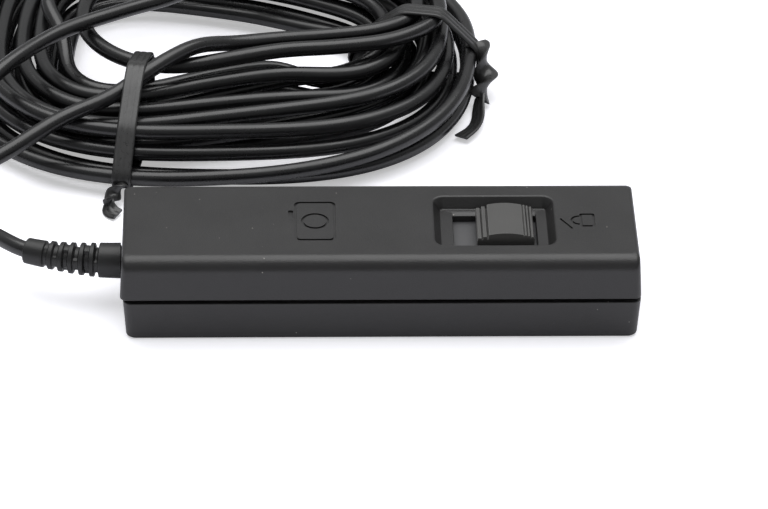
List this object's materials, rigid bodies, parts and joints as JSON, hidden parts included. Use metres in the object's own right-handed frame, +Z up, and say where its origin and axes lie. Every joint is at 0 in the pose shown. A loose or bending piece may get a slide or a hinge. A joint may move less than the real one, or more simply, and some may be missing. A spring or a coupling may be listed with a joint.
{
  "type": "camera cable shutter release",
  "caption": "Wired camera shutter release: a black hand unit with a sliding two-stage thumb button that locks, a ribbed boot, a long tied coil of cable and a pin plug.",
  "frame": {"origin": "centre of the hand unit's bottom face, on the table", "axes": "+X along the hand unit away from its cable, +Y towards the coil of cable, +Z up out of the button"},
  "size_m": [0.166, 0.1338, 0.0183],
  "materials": {
    "case": "finely grained black moulding",
    "button_grey": "satin dark grey moulding",
    "plate_grey": "smooth dark grey moulding",
    "inner_black": "smooth black moulding",
    "block_resin": "resin board",
    "screw_steel": "plated steel",
    "spring_steel": "spring steel",
    "contact_brass": "plated brass",
    "solder": "dull solder",
    "wire_black": "insulated wire",
    "wire_red": "insulated wire",
    "wire_white": "insulated wire",
    "boot_rubber": "soft black rubber",
    "cable_jacket": "satin black vinyl",
    "tie_plastic": "ridged black tie",
    "plug_black": "satin black moulding"
  },
  "bodies": {
    "hand_unit": {"upper_shell": "case", "lower_shell": "case", "case_screws": "screw_steel", "slide_retainer": "inner_black", "retainer_screws": "screw_steel", "detent_spring": "spring_steel", "contact_block": "block_resin", "block_screws": "screw_steel", "release_contact": "contact_brass", "contact_tails": "contact_brass", "solder_joints": "solder", "wire_common": "wire_black", "wire_focus": "wire_red", "wire_release": "wire_white", "cable_clamp": "screw_steel", "clamp_screws": "screw_steel", "cable_boot": "boot_rubber", "cable": "cable_jacket", "left_tie": "tie_plastic", "right_tie": "tie_plastic", "plug_boot": "boot_rubber", "plug_housing": "plug_black", "plug_insert": "inner_black", "plug_pins": "contact_brass"},
    "button": {"thumb_button": "button_grey", "button_plunger": "inner_black"},
    "carriage": {"slide_carriage": "plate_grey", "return_spring": "spring_steel"},
    "common_blade": {"common_contact": "contact_brass"},
    "focus_blade": {"focus_contact": "contact_brass"}
  },
  "joints": [
    {"name": "button_slide", "type": "slide", "parent": "hand_unit", "child": "carriage", "axis": [1, 0, 0], "range_m": [-0.004, 0]},
    {"name": "button_press", "type": "slide", "parent": "carriage", "child": "button", "axis": [0, 0, -1], "range_m": [0, 0.0012], "stiffness_N_per_m": 600, "springref_m": -0.001, "deforming": ["return_spring"]},
    {"name": "common_flex", "type": "hinge", "parent": "hand_unit", "child": "common_blade", "pos_m": [0.00405, 0, 0.00635], "axis": [0, 1, 0], "range_deg": [0, 5]},
    {"name": "focus_flex", "type": "hinge", "parent": "hand_unit", "child": "focus_blade", "pos_m": [0.00405, 0, 0.0045], "axis": [0, 1, 0], "range_deg": [0, 2.5]}
  ],
  "couplings": [
    {"joint": "common_flex", "follows": "button_press", "rad_per_m": 70.4},
    {"joint": "focus_flex", "follows": "button_press", "rad_per_m": 31.68}
  ]
}
